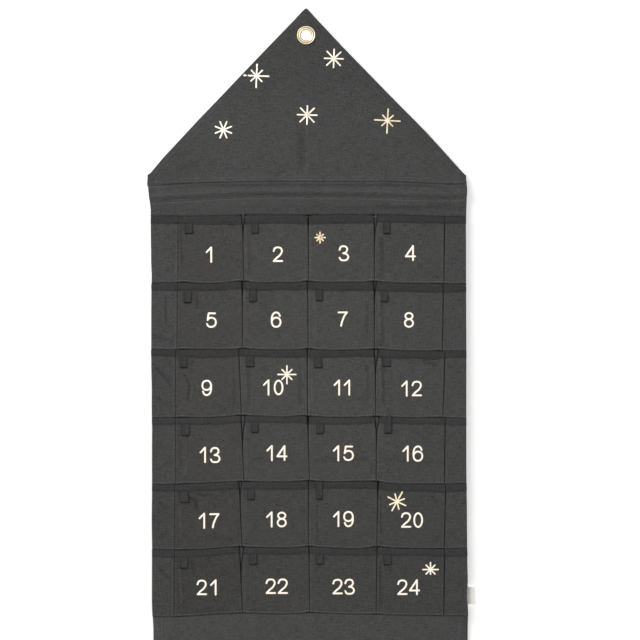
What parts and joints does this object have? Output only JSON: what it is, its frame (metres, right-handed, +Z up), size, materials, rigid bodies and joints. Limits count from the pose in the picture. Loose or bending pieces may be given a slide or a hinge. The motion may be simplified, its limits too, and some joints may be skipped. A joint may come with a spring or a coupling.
{
  "type": "fabric advent calendar",
  "caption": "House-shaped canvas wall hanging with a metal hanging eyelet, a rod casing and rows of pleated numbered pockets with ribbon tabs; the pockets open outward.",
  "frame": {"origin": "centre of the hanging eyelet's hole, in the plane of the wall that the back lies on", "axes": "+Z up along the hanging's height, -Y out of the wall towards the viewer, X across"},
  "size_m": [0.4654, 0.0139, 0.9182],
  "materials": {
    "canvas": "matt woven dark grey canvas",
    "ribbon": "matt darker grey woven ribbon",
    "eyelet_brass": "bright pale gold plating",
    "dowel_wood": "plain sanded wood",
    "label_cloth": "smooth cream woven tape"
  },
  "bodies": {
    "wall_hanging": {"back_panel": "canvas", "eyelet_flange": "eyelet_brass", "eyelet_washer": "eyelet_brass", "gable_panel": "canvas", "header_band": "canvas", "row_strip_1": "canvas", "row_strip_2": "canvas", "row_strip_3": "canvas", "row_strip_4": "canvas", "row_strip_5": "canvas", "row_strip_6": "canvas"},
    "pocket_01": {"pocket_front_01": "canvas"},
    "pocket_02": {"pocket_front_02": "canvas"},
    "pocket_03": {"pocket_front_03": "canvas"},
    "pocket_04": {"pocket_front_04": "canvas"},
    "pocket_05": {"pocket_front_05": "canvas"},
    "pocket_06": {"pocket_front_06": "canvas"},
    "pocket_07": {"pocket_front_07": "canvas"},
    "pocket_08": {"pocket_front_08": "canvas"},
    "pocket_09": {"pocket_front_09": "canvas"},
    "pocket_10": {"pocket_front_10": "canvas"},
    "pocket_11": {"pocket_front_11": "canvas"},
    "pocket_12": {"pocket_front_12": "canvas"},
    "pocket_13": {"pocket_front_13": "canvas"},
    "pocket_14": {"pocket_front_14": "canvas"},
    "pocket_15": {"pocket_front_15": "canvas"},
    "pocket_16": {"pocket_front_16": "canvas"},
    "pocket_17": {"pocket_front_17": "canvas"},
    "pocket_18": {"pocket_front_18": "canvas"},
    "pocket_19": {"pocket_front_19": "canvas"},
    "pocket_20": {"pocket_front_20": "canvas"},
    "pocket_21": {"pocket_front_21": "canvas"},
    "pocket_22": {"pocket_front_22": "canvas"},
    "pocket_23": {"pocket_front_23": "canvas"},
    "pocket_24": {"pocket_front_24": "canvas"},
    "tab_01": {"ribbon_tab_01": "ribbon"},
    "tab_02": {"ribbon_tab_02": "ribbon"},
    "tab_04": {"ribbon_tab_04": "ribbon"},
    "tab_05": {"ribbon_tab_05": "ribbon"},
    "tab_06": {"ribbon_tab_06": "ribbon"},
    "tab_07": {"ribbon_tab_07": "ribbon"},
    "tab_08": {"ribbon_tab_08": "ribbon"},
    "tab_09": {"ribbon_tab_09": "ribbon"},
    "tab_10": {"ribbon_tab_10": "ribbon"},
    "tab_11": {"ribbon_tab_11": "ribbon"},
    "tab_12": {"ribbon_tab_12": "ribbon"},
    "tab_13": {"ribbon_tab_13": "ribbon"},
    "tab_14": {"ribbon_tab_14": "ribbon"},
    "tab_15": {"ribbon_tab_15": "ribbon"},
    "tab_16": {"ribbon_tab_16": "ribbon"},
    "tab_17": {"ribbon_tab_17": "ribbon"},
    "tab_18": {"ribbon_tab_18": "ribbon"},
    "tab_19": {"ribbon_tab_19": "ribbon"},
    "tab_21": {"ribbon_tab_21": "ribbon"},
    "tab_22": {"ribbon_tab_22": "ribbon"},
    "tab_23": {"ribbon_tab_23": "ribbon"},
    "tab_24": {"ribbon_tab_24": "ribbon"},
    "rod": {"top_rod": "dowel_wood"},
    "label": {"side_label": "label_cloth"}
  },
  "joints": [
    {"name": "pocket_01_opening", "type": "hinge", "parent": "wall_hanging", "child": "pocket_01", "pos_m": [-0.13685, -0.0104, -0.34807], "axis": [1, 0, 0], "range_deg": [0, 20], "stiffness_Nm_per_rad": 0.02},
    {"name": "pocket_02_opening", "type": "hinge", "parent": "wall_hanging", "child": "pocket_02", "pos_m": [-0.04275, -0.0104, -0.34807], "axis": [1, 0, 0], "range_deg": [0, 20], "stiffness_Nm_per_rad": 0.02},
    {"name": "pocket_03_opening", "type": "hinge", "parent": "wall_hanging", "child": "pocket_03", "pos_m": [0.05082, -0.0104, -0.34807], "axis": [1, 0, 0], "range_deg": [0, 20], "stiffness_Nm_per_rad": 0.02},
    {"name": "pocket_04_opening", "type": "hinge", "parent": "wall_hanging", "child": "pocket_04", "pos_m": [0.14652, -0.0104, -0.34807], "axis": [1, 0, 0], "range_deg": [0, 20], "stiffness_Nm_per_rad": 0.02},
    {"name": "pocket_05_opening", "type": "hinge", "parent": "wall_hanging", "child": "pocket_05", "pos_m": [-0.13685, -0.0104, -0.4436], "axis": [1, 0, 0], "range_deg": [0, 20], "stiffness_Nm_per_rad": 0.02},
    {"name": "pocket_06_opening", "type": "hinge", "parent": "wall_hanging", "child": "pocket_06", "pos_m": [-0.04275, -0.0104, -0.4436], "axis": [1, 0, 0], "range_deg": [0, 20], "stiffness_Nm_per_rad": 0.02},
    {"name": "pocket_07_opening", "type": "hinge", "parent": "wall_hanging", "child": "pocket_07", "pos_m": [0.05082, -0.0104, -0.4436], "axis": [1, 0, 0], "range_deg": [0, 20], "stiffness_Nm_per_rad": 0.02},
    {"name": "pocket_08_opening", "type": "hinge", "parent": "wall_hanging", "child": "pocket_08", "pos_m": [0.14652, -0.0104, -0.4436], "axis": [1, 0, 0], "range_deg": [0, 20], "stiffness_Nm_per_rad": 0.02},
    {"name": "pocket_09_opening", "type": "hinge", "parent": "wall_hanging", "child": "pocket_09", "pos_m": [-0.13685, -0.0104, -0.53978], "axis": [1, 0, 0], "range_deg": [0, 20], "stiffness_Nm_per_rad": 0.02},
    {"name": "pocket_10_opening", "type": "hinge", "parent": "wall_hanging", "child": "pocket_10", "pos_m": [-0.04275, -0.0104, -0.53978], "axis": [1, 0, 0], "range_deg": [0, 20], "stiffness_Nm_per_rad": 0.02},
    {"name": "pocket_11_opening", "type": "hinge", "parent": "wall_hanging", "child": "pocket_11", "pos_m": [0.05082, -0.0104, -0.53978], "axis": [1, 0, 0], "range_deg": [0, 20], "stiffness_Nm_per_rad": 0.02},
    {"name": "pocket_12_opening", "type": "hinge", "parent": "wall_hanging", "child": "pocket_12", "pos_m": [0.14652, -0.0104, -0.53978], "axis": [1, 0, 0], "range_deg": [0, 20], "stiffness_Nm_per_rad": 0.02},
    {"name": "pocket_13_opening", "type": "hinge", "parent": "wall_hanging", "child": "pocket_13", "pos_m": [-0.13685, -0.0104, -0.63427], "axis": [1, 0, 0], "range_deg": [0, 20], "stiffness_Nm_per_rad": 0.02},
    {"name": "pocket_14_opening", "type": "hinge", "parent": "wall_hanging", "child": "pocket_14", "pos_m": [-0.04275, -0.0104, -0.63427], "axis": [1, 0, 0], "range_deg": [0, 20], "stiffness_Nm_per_rad": 0.02},
    {"name": "pocket_15_opening", "type": "hinge", "parent": "wall_hanging", "child": "pocket_15", "pos_m": [0.05082, -0.0104, -0.63427], "axis": [1, 0, 0], "range_deg": [0, 20], "stiffness_Nm_per_rad": 0.02},
    {"name": "pocket_16_opening", "type": "hinge", "parent": "wall_hanging", "child": "pocket_16", "pos_m": [0.14652, -0.0104, -0.63427], "axis": [1, 0, 0], "range_deg": [0, 20], "stiffness_Nm_per_rad": 0.02},
    {"name": "pocket_17_opening", "type": "hinge", "parent": "wall_hanging", "child": "pocket_17", "pos_m": [-0.13685, -0.0104, -0.72716], "axis": [1, 0, 0], "range_deg": [0, 20], "stiffness_Nm_per_rad": 0.02},
    {"name": "pocket_18_opening", "type": "hinge", "parent": "wall_hanging", "child": "pocket_18", "pos_m": [-0.04275, -0.0104, -0.72716], "axis": [1, 0, 0], "range_deg": [0, 20], "stiffness_Nm_per_rad": 0.02},
    {"name": "pocket_19_opening", "type": "hinge", "parent": "wall_hanging", "child": "pocket_19", "pos_m": [0.05082, -0.0104, -0.72716], "axis": [1, 0, 0], "range_deg": [0, 20], "stiffness_Nm_per_rad": 0.02},
    {"name": "pocket_20_opening", "type": "hinge", "parent": "wall_hanging", "child": "pocket_20", "pos_m": [0.14652, -0.0104, -0.72716], "axis": [1, 0, 0], "range_deg": [0, 20], "stiffness_Nm_per_rad": 0.02},
    {"name": "pocket_21_opening", "type": "hinge", "parent": "wall_hanging", "child": "pocket_21", "pos_m": [-0.13685, -0.0104, -0.8191], "axis": [1, 0, 0], "range_deg": [0, 20], "stiffness_Nm_per_rad": 0.02},
    {"name": "pocket_22_opening", "type": "hinge", "parent": "wall_hanging", "child": "pocket_22", "pos_m": [-0.04275, -0.0104, -0.8191], "axis": [1, 0, 0], "range_deg": [0, 20], "stiffness_Nm_per_rad": 0.02},
    {"name": "pocket_23_opening", "type": "hinge", "parent": "wall_hanging", "child": "pocket_23", "pos_m": [0.05082, -0.0104, -0.8191], "axis": [1, 0, 0], "range_deg": [0, 20], "stiffness_Nm_per_rad": 0.02},
    {"name": "pocket_24_opening", "type": "hinge", "parent": "wall_hanging", "child": "pocket_24", "pos_m": [0.14652, -0.0104, -0.8191], "axis": [1, 0, 0], "range_deg": [0, 20], "stiffness_Nm_per_rad": 0.02},
    {"name": "tab_01_swing", "type": "hinge", "parent": "pocket_01", "child": "tab_01", "pos_m": [-0.16925, -0.01314, -0.268], "axis": [-1, 0, 0], "range_deg": [0, 135]},
    {"name": "tab_02_swing", "type": "hinge", "parent": "pocket_02", "child": "tab_02", "pos_m": [-0.07444, -0.01314, -0.268], "axis": [-1, 0, 0], "range_deg": [0, 135]},
    {"name": "tab_04_swing", "type": "hinge", "parent": "pocket_04", "child": "tab_04", "pos_m": [0.1127, -0.01314, -0.268], "axis": [-1, 0, 0], "range_deg": [0, 135]},
    {"name": "tab_05_swing", "type": "hinge", "parent": "pocket_05", "child": "tab_05", "pos_m": [-0.16925, -0.01314, -0.36277], "axis": [-1, 0, 0], "range_deg": [0, 135]},
    {"name": "tab_06_swing", "type": "hinge", "parent": "pocket_06", "child": "tab_06", "pos_m": [-0.07444, -0.01314, -0.36277], "axis": [-1, 0, 0], "range_deg": [0, 135]},
    {"name": "tab_07_swing", "type": "hinge", "parent": "pocket_07", "child": "tab_07", "pos_m": [0.01894, -0.01314, -0.36277], "axis": [-1, 0, 0], "range_deg": [0, 135]},
    {"name": "tab_08_swing", "type": "hinge", "parent": "pocket_08", "child": "tab_08", "pos_m": [0.1127, -0.01314, -0.36277], "axis": [-1, 0, 0], "range_deg": [0, 135]},
    {"name": "tab_09_swing", "type": "hinge", "parent": "pocket_09", "child": "tab_09", "pos_m": [-0.16925, -0.01313, -0.4583], "axis": [-1, 0, 0], "range_deg": [0, 135]},
    {"name": "tab_10_swing", "type": "hinge", "parent": "pocket_10", "child": "tab_10", "pos_m": [-0.07444, -0.01313, -0.4583], "axis": [-1, 0, 0], "range_deg": [0, 135]},
    {"name": "tab_11_swing", "type": "hinge", "parent": "pocket_11", "child": "tab_11", "pos_m": [0.01894, -0.01313, -0.4583], "axis": [-1, 0, 0], "range_deg": [0, 135]},
    {"name": "tab_12_swing", "type": "hinge", "parent": "pocket_12", "child": "tab_12", "pos_m": [0.1127, -0.01313, -0.4583], "axis": [-1, 0, 0], "range_deg": [0, 135]},
    {"name": "tab_13_swing", "type": "hinge", "parent": "pocket_13", "child": "tab_13", "pos_m": [-0.16925, -0.01315, -0.55448], "axis": [-1, 0, 0], "range_deg": [0, 135]},
    {"name": "tab_14_swing", "type": "hinge", "parent": "pocket_14", "child": "tab_14", "pos_m": [-0.07444, -0.01315, -0.55448], "axis": [-1, 0, 0], "range_deg": [0, 135]},
    {"name": "tab_15_swing", "type": "hinge", "parent": "pocket_15", "child": "tab_15", "pos_m": [0.01894, -0.01315, -0.55448], "axis": [-1, 0, 0], "range_deg": [0, 135]},
    {"name": "tab_16_swing", "type": "hinge", "parent": "pocket_16", "child": "tab_16", "pos_m": [0.1127, -0.01315, -0.55448], "axis": [-1, 0, 0], "range_deg": [0, 135]},
    {"name": "tab_17_swing", "type": "hinge", "parent": "pocket_17", "child": "tab_17", "pos_m": [-0.16925, -0.01316, -0.64897], "axis": [-1, 0, 0], "range_deg": [0, 135]},
    {"name": "tab_18_swing", "type": "hinge", "parent": "pocket_18", "child": "tab_18", "pos_m": [-0.07444, -0.01316, -0.64897], "axis": [-1, 0, 0], "range_deg": [0, 135]},
    {"name": "tab_19_swing", "type": "hinge", "parent": "pocket_19", "child": "tab_19", "pos_m": [0.01894, -0.01316, -0.64897], "axis": [-1, 0, 0], "range_deg": [0, 135]},
    {"name": "tab_21_swing", "type": "hinge", "parent": "pocket_21", "child": "tab_21", "pos_m": [-0.16925, -0.01317, -0.74186], "axis": [-1, 0, 0], "range_deg": [0, 135]},
    {"name": "tab_22_swing", "type": "hinge", "parent": "pocket_22", "child": "tab_22", "pos_m": [-0.07444, -0.01317, -0.74186], "axis": [-1, 0, 0], "range_deg": [0, 135]},
    {"name": "tab_23_swing", "type": "hinge", "parent": "pocket_23", "child": "tab_23", "pos_m": [0.01894, -0.01317, -0.74186], "axis": [-1, 0, 0], "range_deg": [0, 135]},
    {"name": "tab_24_swing", "type": "hinge", "parent": "pocket_24", "child": "tab_24", "pos_m": [0.1127, -0.01317, -0.74186], "axis": [-1, 0, 0], "range_deg": [0, 135]},
    {"name": "rod_slide", "type": "slide", "parent": "wall_hanging", "child": "rod", "axis": [1, 0, 0], "range_m": [0, 0.4451]},
    {"name": "label_flap", "type": "hinge", "parent": "wall_hanging", "child": "label", "pos_m": [0.22755, -0.0009, -0.7932], "axis": [0, 0, 1], "range_deg": [-80, 60]}
  ]
}
